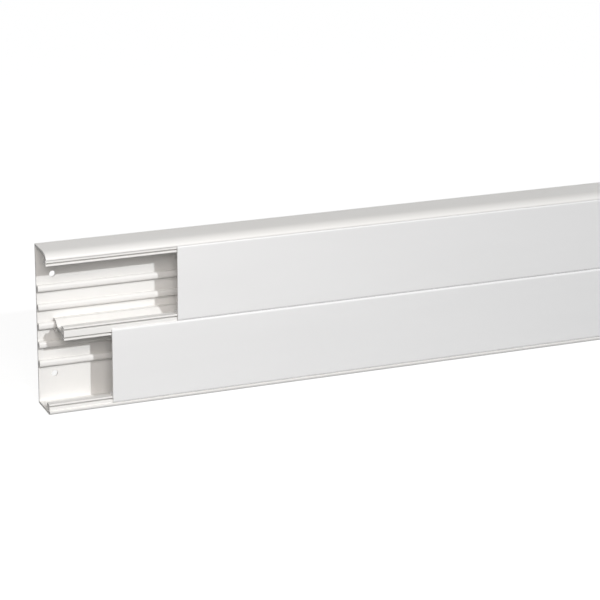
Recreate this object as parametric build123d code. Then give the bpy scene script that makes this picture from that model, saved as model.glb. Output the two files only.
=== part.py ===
from build123d import *
import os

# Two-compartment PVC surface trunking: one extruded base, a clip-on partition
# and two snap-fit covers. Sections are drawn as (depth out from the wall, height).

# Lengths along the run
trunk_length = 2000.0
partition_setback = 15.0
lower_cover_setback = 59.0
upper_cover_setback = 121.0

# Base section
trunk_depth = 35.0
wall = 2.0
bottom_rim = 3.6
top_border = 6.0
top_curve_depth = 11.0
rim_radius = 2.8

# Covers
cover_height = 70.0
cover_face = 1.8
cover_edge_gap = 0.1
cover_edge_radius = 1.5

# Snap edge: the seat strip, the slot behind it and the lip
seat_width = 3.0
seat_wall = 1.6
seat_root = 2.4
slot_width = 1.3
slot_depth = 5.7
slot_end_wall = 1.5
shelf = 1.5
lip = 1.7
lip_radius = 0.5

# Cover legs
leg = 1.1
leg_clearance = 0.15
leg_reach = 1.4
leg_radius = 0.3
barb = 0.9
locating_rib_reach = 3.0

# Rails on the back wall, spaced from the line where the covers meet
rail_pitch = 17.6
rail_count = 5
rail_neck = 2.6
rail_neck_reach = 1.8
rail_head = 5.4
rail_head_reach = 3.2
rail_radius = 2.2

# Partition: its web, and the clip that grips the middle rail
web = 1.6
clip = 1.35
clip_clearance = 0.15
clip_arm = 5.8
clip_run = 6.1
clip_spread = 6.2
clip_radius = 0.4
grip_groove = 0.45
grip_groove_depth = 0.25
grip_groove_count = 6

# Fixing holes in the back wall
hole_diameter = 5.5
hole_end_distance = 15.0
hole_columns = 6
hole_row_offset = 47.0

# Heights and depths that follow from the sizes above
joint_height = bottom_rim + cover_height + 2 * cover_edge_gap
upper_edge = joint_height + cover_height + 2 * cover_edge_gap
trunk_height = upper_edge + top_border
seat_depth = trunk_depth - cover_face
lip_end_depth = seat_depth - slot_depth - slot_end_wall
snap_width = seat_width + slot_width + lip
neck_depth = wall + rail_neck_reach
head_depth = neck_depth + rail_head_reach


# A closed outline from corners given as (depth, height, corner radius)
def outline(corners):
    points = [(depth, height) for depth, height, _ in corners]
    radii = [radius for _, _, radius in corners]
    return make_face(FilletPolyline(*points, radius=radii, close=True))


# Turns a section upright across the run and extrudes it from the right-hand end
def run_of(section, setback):
    right_end = Plane(
        origin=(trunk_length / 2, trunk_depth / 2, 0),
        x_dir=(0, -1, 0),
        z_dir=(-1, 0, 0),
    )
    return extrude(right_end * section, trunk_length - setback)


# One snap edge. It starts at a cover's edge and runs along its inside: direction
# is +1 where the cover rises from that edge and -1 where it hangs below it.
# The seat strip reaches back past the edge by root, to join the rest.
def snap_edge(cover_edge, direction, root):
    def corner(depth, rise, radius=0.0):
        return (depth, cover_edge + direction * rise, radius)

    slot_floor = seat_depth - slot_depth
    return outline([
        corner(seat_depth, -root),
        corner(seat_depth, seat_width, lip_radius),
        corner(slot_floor, seat_width),
        corner(slot_floor, seat_width + slot_width),
        corner(seat_depth, seat_width + slot_width, lip_radius),
        corner(seat_depth, snap_width, lip_radius),
        corner(lip_end_depth, snap_width, lip_radius),
        corner(lip_end_depth, seat_width - shelf),
        corner(seat_depth - seat_wall, seat_width - shelf),
        corner(seat_depth - seat_wall, -root),
    ])


# Flat flange that the trunking stands on, with the rim in front of its snap edge
def bottom_flange():
    rim_back = seat_depth - seat_wall
    return outline([
        (0, 0, 0),
        (trunk_depth, 0, rim_radius),
        (trunk_depth, bottom_rim, lip_radius),
        (rim_back, bottom_rim, 0),
        (rim_back, wall, 0),
        (0, wall, 0),
    ])


# Flat top that turns down to the front in a quarter ellipse of even thickness
def top_wall():
    curve_start = trunk_depth - top_curve_depth
    centre = (curve_start, upper_edge)
    inner_radii = (top_curve_depth - wall, top_border - wall)
    outer = EllipticalCenterArc(centre, top_curve_depth, top_border, arc_size=90)
    inner = EllipticalCenterArc(centre, *inner_radii, arc_size=90)
    front = Line(inner @ 0, outer @ 0)
    top = Line(outer @ 1, (0, trunk_height))
    back = Line((0, trunk_height), (0, trunk_height - wall))
    ceiling = Line((0, trunk_height - wall), inner @ 1)
    return make_face([front, outer, top, back, ceiling, inner])


# Rail with a narrow neck and a rounded head that a clip can grip
def rail(centre_height):
    neck = Pos(wall + rail_neck_reach / 2, centre_height) * Rectangle(
        rail_neck_reach, rail_neck
    )
    head_low = centre_height - rail_head / 2
    head_high = centre_height + rail_head / 2
    head = outline([
        (neck_depth, head_low, 0),
        (head_depth, head_low, rail_radius),
        (head_depth, head_high, rail_radius),
        (neck_depth, head_high, 0),
    ])
    return neck + head


def rail_heights():
    middle = (rail_count - 1) / 2
    return [joint_height + (index - middle) * rail_pitch for index in range(rail_count)]


# Every fixing hole as (place along the run, height)
def hole_places():
    first = -trunk_length / 2 + hole_end_distance
    pitch = (trunk_length - 2 * hole_end_distance) / (hole_columns - 1)
    columns = [first + index * pitch for index in range(hole_columns)]
    rows = [joint_height - hole_row_offset, joint_height + hole_row_offset]
    return [(x, z) for x in columns for z in rows]


def base():
    section = Pos(wall / 2, trunk_height / 2) * Rectangle(wall, trunk_height)
    section += bottom_flange() + top_wall()
    section += snap_edge(bottom_rim + cover_edge_gap, 1, bottom_rim / 2)
    section += snap_edge(upper_edge - cover_edge_gap, -1, seat_root)
    for height in rail_heights():
        section += rail(height)
    body = run_of(section, 0)
    for x, z in hole_places():
        drill = Rot(90, 0, 0) * Cylinder(hole_diameter / 2, wall * 2)
        body -= Pos(x, trunk_depth / 2 - wall / 2, z) * drill
    return body


# Clip leg that spreads from the web and hooks behind a rail's head; side is
# +1 for the upper leg and -1 for the lower one. Fine grooves run along its slope.
def clip_leg(side):
    hook_back = wall + clip_clearance
    hook_front = neck_depth - clip_clearance
    hook_low = rail_neck / 2 + clip_clearance
    slope_start = wall + clip_arm
    slope_end = slope_start + clip_run

    def corner(depth, rise, radius=0.0):
        return (depth, joint_height + side * rise, radius)

    leg_section = outline([
        corner(slope_end, 0),
        corner(slope_end, web / 2),
        corner(slope_start, clip_spread, clip_radius),
        corner(hook_back, clip_spread, clip_radius),
        corner(hook_back, hook_low, clip_radius),
        corner(hook_front, hook_low, clip_radius),
        corner(hook_front, clip_spread - clip),
        corner(slope_start, clip_spread - clip),
        corner(slope_end - clip, 0),
    ])
    slope = Line(corner(slope_end, web / 2)[:2], corner(slope_start, clip_spread)[:2])
    for index in range(grip_groove_count):
        place = slope @ ((index + 1) / (grip_groove_count + 1))
        angle = slope.tangent_angle_at(0)
        cut = Rectangle(grip_groove, 2 * grip_groove_depth)
        leg_section -= Pos(place.X, place.Y) * Rot(0, 0, angle) * cut
    return leg_section


# Cover holder: a T head with a snap edge for each cover, a web and the clip
def partition():
    head_half = cover_edge_gap + snap_width
    section = Pos(lip_end_depth + slot_end_wall / 2, joint_height) * Rectangle(
        slot_end_wall, 2 * head_half - 2 * lip_radius
    )
    section += snap_edge(joint_height + cover_edge_gap, 1, cover_edge_gap)
    section += snap_edge(joint_height - cover_edge_gap, -1, cover_edge_gap)
    web_start = wall + clip_arm + clip_run
    web_length = lip_end_depth + slot_end_wall - web_start
    section += Pos(web_start + web_length / 2, joint_height) * Rectangle(web_length, web)
    section += clip_leg(1) + clip_leg(-1)
    return run_of(section, partition_setback)


# Leg at one edge of a cover: it passes the lip and its barb hooks behind it
def cover_leg(cover_edge, direction):
    inner = snap_width + leg_clearance
    barb_front = lip_end_depth - leg_clearance
    tip = barb_front - leg_reach

    def corner(depth, rise, radius=0.0):
        return (depth, cover_edge + direction * rise, radius)

    hook = outline([
        corner(seat_depth, inner),
        corner(seat_depth, inner + leg),
        corner(tip, inner + leg, leg_radius),
        corner(tip, inner, leg_radius),
        corner(barb_front, inner - barb, leg_radius),
        corner(barb_front, inner),
    ])
    rib_middle = seat_width + slot_width / 2
    rib_width = slot_width - 2 * leg_clearance
    rib_height = cover_edge + direction * rib_middle
    rib = Pos(seat_depth - locating_rib_reach / 2, rib_height) * Rectangle(
        locating_rib_reach, rib_width
    )
    return hook + rib


def cover(low_edge, setback):
    high_edge = low_edge + cover_height
    section = outline([
        (seat_depth, low_edge, 0),
        (trunk_depth, low_edge, cover_edge_radius),
        (trunk_depth, high_edge, cover_edge_radius),
        (seat_depth, high_edge, 0),
    ])
    section += cover_leg(low_edge, 1) + cover_leg(high_edge, -1)
    return run_of(section, setback)


pieces = {
    "trunking_base": base(),
    "partition": partition(),
    "lower_cover": cover(bottom_rim + cover_edge_gap, lower_cover_setback),
    "upper_cover": cover(joint_height + cover_edge_gap, upper_cover_setback),
}

os.makedirs("parts", exist_ok=True)
for name, solid in pieces.items():
    solid.label = name
    export_step(solid, f"parts/{name}.step")
    print(name, "volume", round(solid.volume), "mm3")
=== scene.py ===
import math

import bpy
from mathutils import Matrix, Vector


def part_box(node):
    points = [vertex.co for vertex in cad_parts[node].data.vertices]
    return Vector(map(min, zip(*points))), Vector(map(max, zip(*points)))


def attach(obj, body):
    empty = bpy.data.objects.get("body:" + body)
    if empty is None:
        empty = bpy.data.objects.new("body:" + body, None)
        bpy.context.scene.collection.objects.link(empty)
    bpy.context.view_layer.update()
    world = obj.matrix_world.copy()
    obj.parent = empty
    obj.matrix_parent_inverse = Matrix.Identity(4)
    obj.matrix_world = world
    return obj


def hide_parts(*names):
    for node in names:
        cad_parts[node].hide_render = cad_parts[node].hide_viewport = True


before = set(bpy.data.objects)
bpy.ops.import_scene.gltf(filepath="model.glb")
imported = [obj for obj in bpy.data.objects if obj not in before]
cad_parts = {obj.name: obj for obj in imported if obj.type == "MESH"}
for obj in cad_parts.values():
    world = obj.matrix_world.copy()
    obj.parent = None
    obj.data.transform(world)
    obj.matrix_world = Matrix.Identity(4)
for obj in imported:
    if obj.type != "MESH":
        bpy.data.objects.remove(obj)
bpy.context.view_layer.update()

print("trunking loaded:", sorted(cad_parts))

mm = 0.001
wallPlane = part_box("trunking_base")[1].y   # the back of the trunking, where depths are counted from
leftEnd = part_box("trunking_base")[0].x
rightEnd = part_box("trunking_base")[1].x

# where the photo was taken from, worked out from its long and upright edges
cameraSetup = {
    "place": (-1.5319, -1.8587, 0.7448),
    "turn": (71.571, -0.5086, -22.5564),   # degrees
    "lens": 138.07,                        # mm
    "sensor": 36,                          # mm across
    "near": 0.01,
    "far": 50,
}

bpy.ops.object.camera_add(
    location=cameraSetup["place"],
    rotation=[math.radians(angle) for angle in cameraSetup["turn"]],
)
camera = bpy.context.active_object
camera.name = "photoCamera"
camera.data.lens = cameraSetup["lens"]
camera.data.sensor_width = cameraSetup["sensor"]
camera.data.clip_start = cameraSetup["near"]
camera.data.clip_end = cameraSetup["far"]
bpy.context.scene.camera = camera
bpy.context.scene.view_settings.view_transform = "Standard"

lightSetup = {
    "keyFrom": (0.324, -1.0, 0.585),   # direction towards the lamp
    "keyEnergy": 1.49,
    "keyAngle": 1.3,                   # degrees, how soft its shadows are
    "keyTint": (0.955, 0.98, 1.0),
    "fillFrom": (-1.26, -0.99, 0.72),  # a soft lamp by the camera, near the open end
    "fillAlong": 0.08,                 # it looks this far in from the open end
    "fillHeight": 0.07,
    "fillSize": 0.6,
    "fillEnergy": 7.1,
    "fillTint": (1.0, 0.955, 0.925),
    "backFrom": (0.9, 1.0, 0.045),     # low behind the wall side, for views from the back
    "backEnergy": 1.9,
    "backAngle": 12.0,
    "backTint": (1.0, 1.0, 1.0),
    "sunDistance": 3,
    "skyLevel": 0.16,
    "skyTint": (1.0, 0.995, 0.985),
    "floorSize": 16,
    "floorTone": 0.2,
    "floorShown": 0.3,                 # share of the floor's own shading that the camera sees
    "floorGlow": 0.87,
}

for part in ("key", "back"):
    direction = Vector(lightSetup[part + "From"])
    bpy.ops.object.light_add(
        type="SUN",
        location=direction * lightSetup["sunDistance"],
        rotation=direction.to_track_quat("Z", "Y").to_euler(),
    )
    lamp = bpy.context.active_object
    lamp.name = part + "Lamp"
    lamp.data.energy = lightSetup[part + "Energy"]
    lamp.data.angle = math.radians(lightSetup[part + "Angle"])
    lamp.data.color = lightSetup[part + "Tint"]

# the fill lamp is near the open end, so its light falls off along the run
fillPlace = Vector(lightSetup["fillFrom"])
fillAim = Vector((leftEnd + lightSetup["fillAlong"], 0, lightSetup["fillHeight"]))
bpy.ops.object.light_add(
    type="AREA",
    location=fillPlace,
    rotation=(fillPlace - fillAim).to_track_quat("Z", "Y").to_euler(),
)
fillLamp = bpy.context.active_object
fillLamp.name = "fillLamp"
fillLamp.data.size = lightSetup["fillSize"]
fillLamp.data.energy = lightSetup["fillEnergy"]
fillLamp.data.color = lightSetup["fillTint"]


def seenDirectly(nodes, links):
    # 1 for what the camera sees, also in a reflection or through a hole
    rays = nodes.new("ShaderNodeLightPath")
    either = nodes.new("ShaderNodeMath")
    either.operation = "MAXIMUM"
    links.new(rays.outputs["Is Camera Ray"], either.inputs[0])
    links.new(rays.outputs["Is Glossy Ray"], either.inputs[1])
    anyOf = nodes.new("ShaderNodeMath")
    anyOf.operation = "MAXIMUM"
    links.new(either.outputs[0], anyOf.inputs[0])
    links.new(rays.outputs["Is Transmission Ray"], anyOf.inputs[1])
    return anyOf.outputs[0]


studio = bpy.data.worlds.new("paleStudio")
bpy.context.scene.world = studio
studio.use_nodes = True
skyNodes, skyLinks = studio.node_tree.nodes, studio.node_tree.links
skyNodes.clear()
skyLight = skyNodes.new("ShaderNodeBackground")
skyLight.inputs["Color"].default_value = (*lightSetup["skyTint"], 1)
skyLight.inputs["Strength"].default_value = lightSetup["skyLevel"]
skyWhite = skyNodes.new("ShaderNodeBackground")
skyWhite.inputs["Color"].default_value = (1, 1, 1, 1)
skyWhite.inputs["Strength"].default_value = 1
skyMix = skyNodes.new("ShaderNodeMixShader")
skyOut = skyNodes.new("ShaderNodeOutputWorld")
skyLinks.new(seenDirectly(skyNodes, skyLinks), skyMix.inputs[0])
skyLinks.new(skyLight.outputs[0], skyMix.inputs[1])
skyLinks.new(skyWhite.outputs[0], skyMix.inputs[2])
skyLinks.new(skyMix.outputs[0], skyOut.inputs["Surface"])


def floorMaterial():
    material = bpy.data.materials.new("paleFloor")
    material.use_nodes = True
    nodes, links = material.node_tree.nodes, material.node_tree.links
    nodes.clear()
    plain = nodes.new("ShaderNodeBsdfDiffuse")
    tone = lightSetup["floorTone"]
    plain.inputs["Color"].default_value = (tone, tone, tone, 1)
    shown = nodes.new("ShaderNodeBsdfDiffuse")
    shownTone = lightSetup["floorShown"]
    shown.inputs["Color"].default_value = (shownTone, shownTone, shownTone, 1)
    glow = nodes.new("ShaderNodeEmission")
    glow.inputs["Strength"].default_value = lightSetup["floorGlow"]
    bright = nodes.new("ShaderNodeAddShader")
    links.new(shown.outputs[0], bright.inputs[0])
    links.new(glow.outputs[0], bright.inputs[1])
    mix = nodes.new("ShaderNodeMixShader")
    links.new(seenDirectly(nodes, links), mix.inputs[0])
    links.new(plain.outputs[0], mix.inputs[1])
    links.new(bright.outputs[0], mix.inputs[2])
    out = nodes.new("ShaderNodeOutputMaterial")
    links.new(mix.outputs[0], out.inputs["Surface"])
    return material


bpy.ops.mesh.primitive_plane_add(size=lightSetup["floorSize"], location=(0, 0, 0))
floor = bpy.context.active_object
floor.name = "floor"
floor.data.materials.append(floorMaterial())
print("camera, lamps, sky and floor are set")


# each pattern's stretch along, through and up the piece, its scale and its detail
noisePatterns = {
    "cloud": ((1.5, 9, 9), 3.0, 3),
    "dieLines": ((1.2, 520, 520), 1.0, 4),
    "grain": ((1, 1, 1), 2600, 2),
    "wave": ((6, 30, 30), 1.0, 1),
    "sawMarks": ((1, 260, 1500), 1.0, 3),
    "crumbs": ((1, 1, 1), 1900, 3),
}

# how deep each pattern goes, in metres
bumpDepths = {
    "wave": 0.0006,
    "dieLines": 0.00006,
    "grain": 0.00003,
    "sawMarks": 0.00015,
    "crumbs": 0.0001,
}
noiseSpan = (0.3, 0.7)   # most of a noise's values lie between these


def blendTones(nodes, links, factor, toneA, toneB, low, high):
    ramp = nodes.new("ShaderNodeValToRGB")
    ramp.color_ramp.elements[0].position = low
    ramp.color_ramp.elements[0].color = (*toneA, 1)
    ramp.color_ramp.elements[1].position = high
    ramp.color_ramp.elements[1].color = (*toneB, 1)
    links.new(factor, ramp.inputs[0])
    return ramp.outputs["Color"]


def noiseAlong(nodes, links, pattern):
    # noise on object coordinates, stretched by the mapping's scale
    stretch, scale, detail = noisePatterns[pattern]
    where = nodes.new("ShaderNodeTexCoord")
    mapping = nodes.new("ShaderNodeMapping")
    mapping.inputs["Scale"].default_value = stretch
    links.new(where.outputs["Object"], mapping.inputs["Vector"])
    noise = nodes.new("ShaderNodeTexNoise")
    noise.inputs["Scale"].default_value = scale
    noise.inputs["Detail"].default_value = detail
    links.new(mapping.outputs[0], noise.inputs["Vector"])
    return noise.outputs["Fac"]


def bumpOn(nodes, links, height, pattern, strength, previous=None):
    bump = nodes.new("ShaderNodeBump")
    bump.inputs["Strength"].default_value = strength
    bump.inputs["Distance"].default_value = bumpDepths[pattern]
    links.new(height, bump.inputs["Height"])
    if previous is not None:
        links.new(previous, bump.inputs["Normal"])
    return bump.outputs["Normal"]


def rangeOf(nodes, links, value, low, high):
    remap = nodes.new("ShaderNodeMapRange")
    remap.inputs["From Min"].default_value = noiseSpan[0]
    remap.inputs["From Max"].default_value = noiseSpan[1]
    remap.inputs["To Min"].default_value = low
    remap.inputs["To Max"].default_value = high
    links.new(value, remap.inputs["Value"])
    return remap.outputs["Result"]


# what the plastics have in common; wave, sawMarks and crumbs are bump strengths
plasticCommon = {
    "ior": 1.53,
    "toneBlend": (0.35, 0.65),
    "wave": 0.25,
    "sawnGloss": 0.3,
    "sawnRoughness": (0.5, 0.72),
    "sawnBlend": (0.4, 0.62),
    "sawMarks": 0.5,
    "crumbs": 0.35,
}


def extrudedPlastic(name, look):
    # smooth white PVC: die lines along the run, a slow waviness and a fine grain
    material = bpy.data.materials.new(name)
    material.use_nodes = True
    nodes, links = material.node_tree.nodes, material.node_tree.links
    shader = nodes["Principled BSDF"]
    shader.inputs["IOR"].default_value = plasticCommon["ior"]
    shader.inputs["Specular IOR Level"].default_value = look["gloss"]
    cloud = noiseAlong(nodes, links, "cloud")
    dieLines = noiseAlong(nodes, links, "dieLines")
    grain = noiseAlong(nodes, links, "grain")
    wave = noiseAlong(nodes, links, "wave")
    low, high = plasticCommon["toneBlend"]
    tone = blendTones(nodes, links, cloud, look["tone"], look["paleTone"], low, high)
    links.new(tone, shader.inputs["Base Color"])
    links.new(rangeOf(nodes, links, dieLines, *look["roughness"]), shader.inputs["Roughness"])
    normal = bumpOn(nodes, links, wave, "wave", plasticCommon["wave"])
    normal = bumpOn(nodes, links, dieLines, "dieLines", look["dieLines"], normal)
    normal = bumpOn(nodes, links, grain, "grain", look["grain"], normal)
    links.new(normal, shader.inputs["Normal"])
    return material


def sawnPlastic(name, look):
    # the cut ends: matter, with the saw's marks across them, and greyer; the grey is partly the cut's
    # own and partly painted shade, strongest on the partition's end
    material = bpy.data.materials.new(name)
    material.use_nodes = True
    nodes, links = material.node_tree.nodes, material.node_tree.links
    shader = nodes["Principled BSDF"]
    shader.inputs["IOR"].default_value = plasticCommon["ior"]
    shader.inputs["Specular IOR Level"].default_value = plasticCommon["sawnGloss"]
    sawMarks = noiseAlong(nodes, links, "sawMarks")
    crumbs = noiseAlong(nodes, links, "crumbs")
    low, high = plasticCommon["sawnBlend"]
    # the sawn tone holds painted shade as well as the cut's own grey
    tone = blendTones(nodes, links, crumbs, look["sawnGreyAndShade"], look["tone"], low, high)
    links.new(tone, shader.inputs["Base Color"])
    roughness = rangeOf(nodes, links, sawMarks, *plasticCommon["sawnRoughness"])
    links.new(roughness, shader.inputs["Roughness"])
    normal = bumpOn(nodes, links, sawMarks, "sawMarks", plasticCommon["sawMarks"])
    normal = bumpOn(nodes, links, crumbs, "crumbs", plasticCommon["crumbs"], normal)
    links.new(normal, shader.inputs["Normal"])
    return material


plasticLooks = {
    "base": {
        "tone": (0.9, 0.888, 0.866),
        "paleTone": (0.915, 0.906, 0.887),
        "sawnGreyAndShade": (0.79, 0.795, 0.79),
        "roughness": (0.42, 0.5),
        "gloss": 0.3,
        "dieLines": 0.3,
        "grain": 0.12,
    },
    "partition": {
        "tone": (0.896, 0.885, 0.864),
        "paleTone": (0.912, 0.903, 0.885),
        # the partition's end is much darker than its plastic: painted shade on a face turned from the
        # key lamp
        "sawnGreyAndShade": (0.56, 0.57, 0.575),
        "roughness": (0.42, 0.5),
        "gloss": 0.3,
        "dieLines": 0.35,
        "grain": 0.14,
    },
    "cover": {
        "tone": (0.898, 0.899, 0.9),
        "paleTone": (0.912, 0.913, 0.914),
        "sawnGreyAndShade": (0.82, 0.82, 0.815),
        "roughness": (0.42, 0.49),
        "gloss": 0.35,
        "dieLines": 0.22,
        "grain": 0.16,
    },
}
plastics = {}
for family, look in plasticLooks.items():
    plastics[family] = (
        extrudedPlastic(family + "Plastic", look),
        sawnPlastic(family + "SawnEndGreyAndShade", look),
    )
print("plastics are ready:", sorted(plastics))

meshSetup = {
    "sawnEdge": 0.12,      # mm, the broken edge round a sawn end
    "sawnSteps": 2,
    "wideRadius": 1,       # mm, from here on a corner is rounded in more steps
    "wideSteps": 8,
    "fineSteps": 4,
    "sameSpot": 2e-6,      # m, how near a vertex lies to its corner
    "sameEnd": 1e-6,       # m, how near an edge lies to a sawn end
    "straight": 0.2,       # degrees, edges of a section that turn less are made one
    "softAngle": 30,       # degrees, edges that turn less are shaded soft
    "sideTilt": 0.5,       # a side's normal leans less than this along the run
    "endTilt": 0.98,       # and a sawn end's normal more than this
}


def startPiece(name):
    # an empty mesh at the origin, in edit mode
    if bpy.context.mode != "OBJECT":
        bpy.ops.object.mode_set(mode="OBJECT")
    bpy.ops.object.select_all(action="DESELECT")
    bpy.ops.mesh.primitive_plane_add(size=mm, location=(0, 0, 0))
    piece = bpy.context.active_object
    piece.name = name
    bpy.ops.object.mode_set(mode="EDIT")
    bpy.ops.mesh.select_all(action="SELECT")
    bpy.ops.mesh.delete(type="VERT")
    return piece


def selectVertices(piece, wanted):
    bpy.ops.mesh.select_mode(type="VERT")
    bpy.ops.mesh.select_all(action="DESELECT")
    bpy.ops.object.mode_set(mode="OBJECT")
    for vertex in piece.data.vertices:
        vertex.select = wanted(vertex.co)
    bpy.ops.object.mode_set(mode="EDIT")


def isAt(co, corner):
    depth, height, _ = corner
    return (
        abs(wallPlane - depth * mm - co.y) < meshSetup["sameSpot"]
        and abs(height * mm - co.z) < meshSetup["sameSpot"]
    )


def walkRound(piece, fromEnd, corners):
    # one vertex is extruded from corner to corner round the section, then the
    # corners that have a radius are rounded; a corner is (depth, height, radius)
    bpy.ops.mesh.select_mode(type="VERT")
    bpy.ops.mesh.select_all(action="DESELECT")
    bpy.ops.mesh.primitive_plane_add(size=mm, location=(0, 0, 0))
    bpy.ops.mesh.merge(type="CENTER")
    depth, height, _ = corners[0]
    bpy.ops.transform.translate(value=(fromEnd, wallPlane - depth * mm, height * mm))
    for nextDepth, nextHeight, _ in corners[1:]:
        step = (0, (depth - nextDepth) * mm, (nextHeight - height) * mm)
        bpy.ops.mesh.extrude_vertices_move(TRANSFORM_OT_translate={"value": step})
        depth, height = nextDepth, nextHeight
    ends = [corners[0], corners[-1]]
    selectVertices(piece, lambda co: any(isAt(co, corner) for corner in ends))
    bpy.ops.mesh.edge_face_add()
    for radius in sorted({corner[2] for corner in corners if corner[2] > 0}):
        rounded = [corner for corner in corners if corner[2] == radius]
        selectVertices(piece, lambda co: any(isAt(co, corner) for corner in rounded))
        wide = radius >= meshSetup["wideRadius"]
        bpy.ops.mesh.bevel(
            offset=radius * mm,
            offset_type="OFFSET",
            segments=meshSetup["wideSteps"] if wide else meshSetup["fineSteps"],
            affect="VERTICES",
        )


def selectSawnRim(piece, end):
    # the edges where a sawn end meets the sides
    bpy.ops.mesh.select_mode(type="EDGE")
    bpy.ops.mesh.select_all(action="DESELECT")
    bpy.ops.object.mode_set(mode="OBJECT")
    mesh = piece.data
    sameEnd = meshSetup["sameEnd"]
    rim = {
        key
        for face in mesh.polygons
        if abs(face.normal.x) < meshSetup["sideTilt"]
        for key in face.edge_keys
        if all(abs(mesh.vertices[corner].co.x - end) < sameEnd for corner in key)
    }
    for edge in mesh.edges:
        edge.select = edge.key in rim
    bpy.ops.object.mode_set(mode="EDIT")


def drawOut(piece, fromEnd, toEnd):
    # fills the section, draws it out along the run and breaks its sawn edges
    bpy.ops.mesh.select_all(action="SELECT")
    bpy.ops.mesh.fill()
    bpy.ops.mesh.select_all(action="SELECT")
    bpy.ops.mesh.dissolve_limited(angle_limit=math.radians(meshSetup["straight"]))
    bpy.ops.mesh.select_all(action="SELECT")
    bpy.ops.mesh.extrude_region_move(
        TRANSFORM_OT_translate={"value": (toEnd - fromEnd, 0, 0)}
    )
    bpy.ops.mesh.select_all(action="SELECT")
    bpy.ops.mesh.normals_make_consistent(inside=False)
    for end in (fromEnd, toEnd):
        selectSawnRim(piece, end)
        bpy.ops.mesh.bevel(
            offset=meshSetup["sawnEdge"] * mm,
            offset_type="OFFSET",
            segments=meshSetup["sawnSteps"],
            affect="EDGES",
            clamp_overlap=False,
        )
    bpy.ops.object.mode_set(mode="OBJECT")


def finishPiece(piece, node, family):
    # soft shading on the curves, plastic on the sides and its sawn face on the ends, whose grey is
    # partly painted shade
    bpy.ops.object.select_all(action="DESELECT")
    bpy.context.view_layer.objects.active = piece
    piece.select_set(True)
    bpy.ops.object.shade_smooth_by_angle(angle=math.radians(meshSetup["softAngle"]))
    bpy.ops.object.modifier_add(type="WEIGHTED_NORMAL")
    piece.modifiers[-1].keep_sharp = True
    bpy.ops.object.modifier_apply(modifier=piece.modifiers[-1].name)
    for material in plastics[family]:
        piece.data.materials.append(material)
    # faces that point along the run get the sawn material with its painted shade
    for face in piece.data.polygons:
        face.material_index = 1 if abs(face.normal.x) > meshSetup["endTilt"] else 0
    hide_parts(node)
    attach(piece, "root")
    print(piece.name, "has", len(piece.data.polygons), "faces")


# all sections are in mm, as depths out from the wall and heights
snapSizes = {
    "seatDepth": 33.2,
    "seatWidth": 3.0,
    "seatWall": 1.6,
    "slotWidth": 1.3,
    "slotDepth": 5.7,
    "endWall": 1.5,
    "shelf": 1.5,
    "lip": 1.7,
    "lipRadius": 0.5,
    "rootRadius": 0.31,   # where the edge stands on the flange or on the web
}


def snapEdge(coverEdge, way):
    # the walk over one snap edge, from the front of its seat round the lip to the
    # shelf behind; way is 1 where the cover rises from its edge, -1 where it hangs
    seat, lipRadius = snapSizes["seatDepth"], snapSizes["lipRadius"]
    slotFloor = seat - snapSizes["slotDepth"]
    back = slotFloor - snapSizes["endWall"]
    slotStart = snapSizes["seatWidth"]
    slotStop = slotStart + snapSizes["slotWidth"]
    lipStop = slotStop + snapSizes["lip"]
    walk = [
        (seat, slotStart, lipRadius),
        (slotFloor, slotStart, 0),
        (slotFloor, slotStop, 0),
        (seat, slotStop, lipRadius),
        (seat, lipStop, lipRadius),
        (back, lipStop, lipRadius),
        (back, slotStart - snapSizes["shelf"], 0),
    ]
    return [(depth, coverEdge + way * rise, radius) for depth, rise, radius in walk]


# the base's section, its rails and its fixing holes
baseSizes = {
    "depth": 35.0,
    "height": 150.0,
    "wall": 2.0,
    "bottomRim": 3.6,
    "rimRadius": 2.8,
    "lowerCoverEdge": 3.7,
    "upperCoverEdge": 143.9,
    "topEdge": 144.0,
    "curveDepth": 11.0,
    "curveSteps": 18,
    "ceilingSteps": 12,
    "ceilingStop": 0.5,   # the ceiling ends this far short of the snap edge's wall
    "innerRadius": 0.6,
    "backRadius": 0.25,
    "railHeights": [38.6, 56.2, 73.8, 91.4, 109.0],
    "railNeck": 2.6,
    "railNeckReach": 1.8,
    "railNeckRadius": 0.3,
    "railHead": 6.6,
    "railHeadReach": 3.2,
    "railHeadRadius": 0.25,
    "railRadius": 2.6,
    "holeRadius": 2.75,
    "holeSides": 48,
    "holeRows": [26.8, 120.8],
    "holeEndDistance": 15.0,
    "holeColumns": 6,
}


def quarterCurve(centreDepth, centreHeight, reach, rise, steps):
    # from the front of the curve up and back to where it runs out flat
    return [
        (
            centreDepth + reach * math.cos(math.pi / 2 * step / steps),
            centreHeight + rise * math.sin(math.pi / 2 * step / steps),
            0,
        )
        for step in range(steps + 1)
    ]


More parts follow.
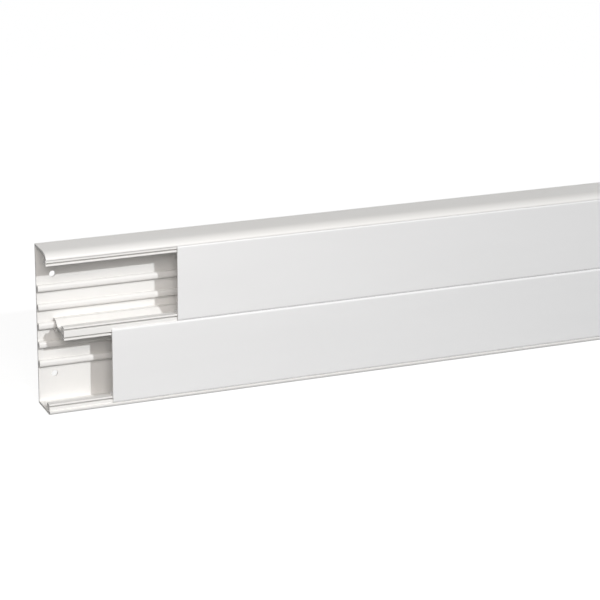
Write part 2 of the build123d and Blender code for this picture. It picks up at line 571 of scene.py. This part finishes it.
def baseCorners(sizes):
    wall, front = sizes["wall"], sizes["depth"]
    seat, seatBack = snapSizes["seatDepth"], snapSizes["seatDepth"] - snapSizes["seatWall"]
    corners = [
        (0, 0, 0),
        (front, 0, sizes["rimRadius"]),
        (front, sizes["bottomRim"], snapSizes["lipRadius"]),
        (seat, sizes["bottomRim"], 0),
    ]
    corners += snapEdge(sizes["lowerCoverEdge"], 1)
    corners += [
        (seatBack, corners[-1][1], 0),
        (seatBack, wall, snapSizes["rootRadius"]),
        (wall, wall, sizes["innerRadius"]),
    ]
    neckEnd = wall + sizes["railNeckReach"]
    headEnd = neckEnd + sizes["railHeadReach"]
    neck, head = sizes["railNeck"] / 2, sizes["railHead"] / 2
    neckRadius, headRadius = sizes["railNeckRadius"], sizes["railHeadRadius"]
    for height in sizes["railHeights"]:
        corners += [
            (wall, height - neck, neckRadius),
            (neckEnd, height - neck, 0),
            (neckEnd, height - head, headRadius),
            (headEnd, height - head, sizes["railRadius"]),
            (headEnd, height + head, sizes["railRadius"]),
            (neckEnd, height + head, headRadius),
            (neckEnd, height + neck, 0),
            (wall, height + neck, neckRadius),
        ]
    corners.append((wall, sizes["height"] - wall, sizes["innerRadius"]))
    curveStart = front - sizes["curveDepth"]
    topRise = sizes["height"] - sizes["topEdge"]
    ceiling = quarterCurve(
        curveStart,
        sizes["topEdge"],
        sizes["curveDepth"] - wall,
        topRise - wall,
        sizes["ceilingSteps"],
    )
    ceilingFront = seatBack - sizes["ceilingStop"]
    corners += [corner for corner in reversed(ceiling) if corner[0] < ceilingFront]
    upperSnap = snapEdge(sizes["upperCoverEdge"], -1)[::-1]
    corners.append((seatBack, upperSnap[0][1], 0))
    corners += upperSnap
    corners.append((seat, sizes["topEdge"], 0))
    corners += quarterCurve(
        curveStart, sizes["topEdge"], sizes["curveDepth"], topRise, sizes["curveSteps"]
    )
    corners.append((0, sizes["height"], sizes["backRadius"]))
    return corners


def drillHoles(piece, sizes):
    # one cylinder for each fixing hole, joined and cut out of the back wall
    bpy.ops.object.select_all(action="DESELECT")
    first = leftEnd + sizes["holeEndDistance"] * mm
    span = rightEnd - leftEnd - 2 * sizes["holeEndDistance"] * mm
    drills = []
    for column in range(sizes["holeColumns"]):
        for height in sizes["holeRows"]:
            bpy.ops.mesh.primitive_cylinder_add(
                vertices=sizes["holeSides"],
                radius=sizes["holeRadius"] * mm,
                depth=sizes["wall"] * 3 * mm,
                location=(
                    first + span * column / (sizes["holeColumns"] - 1),
                    wallPlane - sizes["wall"] / 2 * mm,
                    height * mm,
                ),
                rotation=(math.pi / 2, 0, 0),
            )
            drills.append(bpy.context.active_object)
    for drill in drills:
        drill.select_set(True)
    bpy.ops.object.join()
    drillSet = bpy.context.active_object
    bpy.ops.object.transform_apply(location=True, rotation=True, scale=True)
    bpy.ops.object.select_all(action="DESELECT")
    bpy.context.view_layer.objects.active = piece
    piece.select_set(True)
    bpy.ops.object.modifier_add(type="BOOLEAN")
    cut = piece.modifiers[-1]
    cut.operation = "DIFFERENCE"
    cut.solver = "EXACT"
    cut.object = drillSet
    bpy.ops.object.modifier_apply(modifier=cut.name)
    bpy.data.objects.remove(drillSet)


base = startPiece("baseProfile")
walkRound(base, leftEnd, baseCorners(baseSizes))
drawOut(base, leftEnd, rightEnd)
drillHoles(base, baseSizes)
finishPiece(base, "trunking_base", "base")

# the partition's web and clip; rises are counted from the line where the covers meet
partitionSizes = {
    "joint": 73.8,
    "edgeGap": 0.1,
    "web": 1.6,
    "clip": 1.35,
    "hookBack": 2.15,
    "hookFront": 3.65,
    "hookRise": 1.45,
    "slopeStart": 7.8,
    "slopeStop": 13.9,
    "spread": 6.2,
    "clipRadius": 0.4,
    "grooves": 6,
    "groove": 0.45,
    "grooveDepth": 0.25,
    "hollowRadius": 0.2,
}


def gripGrooves(sizes):
    # down the clip's slope from its shoulder to the web, with a groove at each step
    start = Vector((sizes["slopeStart"], sizes["spread"]))
    stop = Vector((sizes["slopeStop"], sizes["web"] / 2))
    along = (stop - start).normalized()
    inward = Vector((along.y, -along.x))
    walk = []
    for index in range(sizes["grooves"]):
        centre = start.lerp(stop, (index + 1) / (sizes["grooves"] + 1))
        half = along * sizes["groove"] / 2
        down = inward * sizes["grooveDepth"]
        walk += [centre - half, centre - half + down, centre + half + down, centre + half]
    return [(point.x, point.y, 0) for point in walk]


def upperHalf(sizes):
    # the half of the partition above the joint line, as (depth, rise, radius)
    walk = snapEdge(sizes["edgeGap"], 1)[:-1]
    back = walk[-1][0]
    halfWeb = sizes["web"] / 2
    walk += [(back, halfWeb, snapSizes["rootRadius"]), (sizes["slopeStop"], halfWeb, 0)]
    walk += gripGrooves(sizes)[::-1]
    spread, clipRadius = sizes["spread"], sizes["clipRadius"]
    walk += [
        (sizes["slopeStart"], spread, clipRadius),
        (sizes["hookBack"], spread, clipRadius),
        (sizes["hookBack"], sizes["hookRise"], clipRadius),
        (sizes["hookFront"], sizes["hookRise"], clipRadius),
        (sizes["hookFront"], spread - sizes["clip"], 0),
        (sizes["slopeStart"], spread - sizes["clip"], 0),
    ]
    return walk


def partitionCorners(sizes):
    upper = upperHalf(sizes)
    joint = sizes["joint"]
    corners = [(depth, joint + rise, radius) for depth, rise, radius in upper]
    corners.append((sizes["slopeStop"] - sizes["clip"], joint, 0))
    corners += [(depth, joint - rise, radius) for depth, rise, radius in reversed(upper)]
    return corners


def hollowCorners(sizes):
    # the closed box behind the two seats
    front = snapSizes["seatDepth"] - snapSizes["seatWall"]
    back = snapSizes["seatDepth"] - snapSizes["slotDepth"]
    rise = sizes["edgeGap"] + snapSizes["seatWidth"] - snapSizes["shelf"]
    joint, radius = sizes["joint"], sizes["hollowRadius"]
    return [
        (front, joint - rise, radius),
        (front, joint + rise, radius),
        (back, joint + rise, radius),
        (back, joint - rise, radius),
    ]


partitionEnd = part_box("partition")[0].x
partition = startPiece("partitionProfile")
walkRound(partition, partitionEnd, partitionCorners(partitionSizes))
walkRound(partition, partitionEnd, hollowCorners(partitionSizes))
drawOut(partition, partitionEnd, rightEnd)
finishPiece(partition, "partition", "partition")

# both covers have this section, with a hooked leg and a rib near each edge
coverSizes = {
    "height": 70.0,
    "front": 35.0,
    "inside": 33.2,
    "insideRadius": 0.2,
    "edgeDepth": 1.5,    # the soft long edges: how far back and how far along the face
    "edgeRise": 2.3,
    "edgeSteps": 8,
    "legInner": 6.15,
    "leg": 1.1,
    "tip": 24.45,
    "barbFront": 25.85,
    "barb": 0.9,
    "legRadius": 0.3,
    "legRootRadius": 0.25,
    "ribReach": 3.0,
    "ribStart": 3.15,
    "ribStop": 4.15,
    "ribRadius": 0.2,
}


def coverCorners(sizes, lowEdge):
    # up the inside over both ribs and hooks, and down the front
    inside, tip, barbFront = sizes["inside"], sizes["tip"], sizes["barbFront"]
    ribEnd, ribRadius = inside - sizes["ribReach"], sizes["ribRadius"]
    legInner, legRadius = sizes["legInner"], sizes["legRadius"]
    legOuter = legInner + sizes["leg"]
    side = [
        (inside, 0, sizes["insideRadius"]),
        (inside, sizes["ribStart"], 0),
        (ribEnd, sizes["ribStart"], ribRadius),
        (ribEnd, sizes["ribStop"], ribRadius),
        (inside, sizes["ribStop"], 0),
        (inside, legInner, 0),
        (barbFront, legInner, 0),
        (barbFront, legInner - sizes["barb"], legRadius),
        (tip, legInner, legRadius),
        (tip, legOuter, legRadius),
        (inside, legOuter, sizes["legRootRadius"]),
    ]
    highEdge = lowEdge + sizes["height"]
    corners = [(depth, lowEdge + rise, radius) for depth, rise, radius in side]
    corners += [(depth, highEdge - rise, radius) for depth, rise, radius in reversed(side)]
    edgeStart, edgeRise = sizes["front"] - sizes["edgeDepth"], sizes["edgeRise"]
    softEdge = quarterCurve(edgeStart, 0, sizes["edgeDepth"], edgeRise, sizes["edgeSteps"])
    corners += [
        (depth, highEdge - edgeRise + rise, 0) for depth, rise, _ in reversed(softEdge)
    ]
    corners += [(depth, lowEdge + edgeRise - rise, 0) for depth, rise, _ in softEdge]
    return corners


for name, node in (("lowerCoverProfile", "lower_cover"), ("upperCoverProfile", "upper_cover")):
    low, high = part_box(node)
    cover = startPiece(name)
    walkRound(cover, low.x, coverCorners(coverSizes, round(low.z / mm, 3)))
    drawOut(cover, low.x, rightEnd)
    finishPiece(cover, node, "cover")
